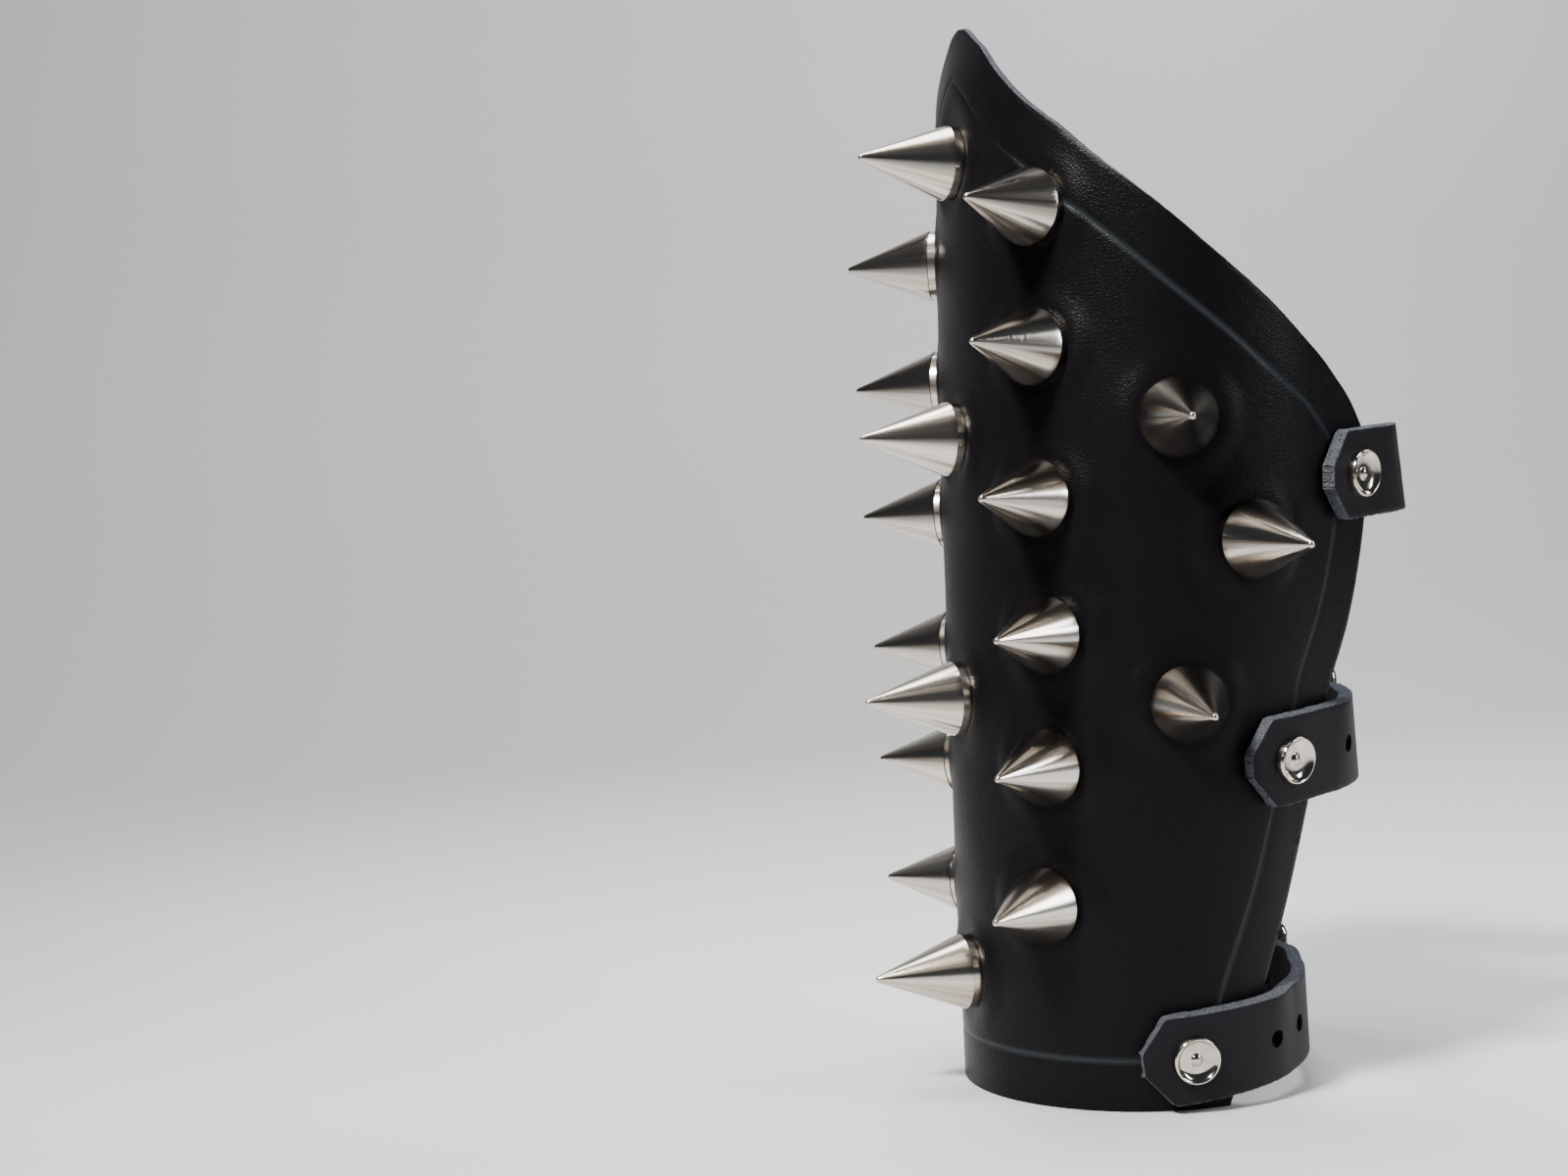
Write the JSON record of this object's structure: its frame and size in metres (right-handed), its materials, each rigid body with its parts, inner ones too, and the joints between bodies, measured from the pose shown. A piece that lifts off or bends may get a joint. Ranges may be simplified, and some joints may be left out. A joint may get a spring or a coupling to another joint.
{
  "type": "spiked leather gauntlet",
  "caption": "Long black leather forearm guard with a pointed top edge, cone spikes, and buckled straps that close its open back.",
  "frame": {"origin": "in the wrist edge that the guard stands on, at the middle of the wall's thickness on the front centre line", "axes": "+Z from the wrist to the elbow, -Y out of the front centre line under the peak, +Y out of the open back, +X to the side where the long punched straps are riveted"},
  "size_m": [0.1334, 0.1259, 0.229],
  "materials": {
    "panel_leather": "satin black, fine grain",
    "strap_leather": "satin black, smooth, raw edges",
    "nickel": "polished nickel plate, turned"
  },
  "bodies": {
    "root": {"leather_panel": "panel_leather", "strap_upper": "strap_leather", "buckle_strap_upper": "strap_leather", "strap_middle": "strap_leather", "buckle_strap_middle": "strap_leather", "strap_wrist": "strap_leather", "buckle_strap_wrist": "strap_leather", "spike_center_1": "nickel", "spike_center_2": "nickel", "spike_center_3": "nickel", "spike_center_4": "nickel", "spike_left_inner_1": "nickel", "spike_left_inner_2": "nickel", "spike_left_inner_3": "nickel", "spike_left_inner_4": "nickel", "spike_left_inner_5": "nickel", "spike_left_inner_6": "nickel", "spike_right_inner_1": "nickel", "spike_right_inner_2": "nickel", "spike_right_inner_3": "nickel", "spike_right_inner_4": "nickel", "spike_right_inner_5": "nickel", "spike_right_inner_6": "nickel", "spike_left_outer_1": "nickel", "spike_left_outer_2": "nickel", "spike_left_outer_3": "nickel", "spike_right_outer_1": "nickel", "spike_right_outer_2": "nickel", "spike_right_outer_3": "nickel", "buckle_frame_upper": "nickel", "buckle_prong_upper": "nickel", "keeper_upper": "nickel", "buckle_frame_middle": "nickel", "buckle_prong_middle": "nickel", "keeper_middle": "nickel", "buckle_frame_wrist": "nickel", "buckle_prong_wrist": "nickel", "keeper_wrist": "nickel", "rivet_upper_right": "nickel", "rivet_upper_left": "nickel", "rivet_middle_right": "nickel", "rivet_middle_left": "nickel", "rivet_wrist_right": "nickel", "rivet_wrist_left": "nickel"}
  },
  "joints": []
}
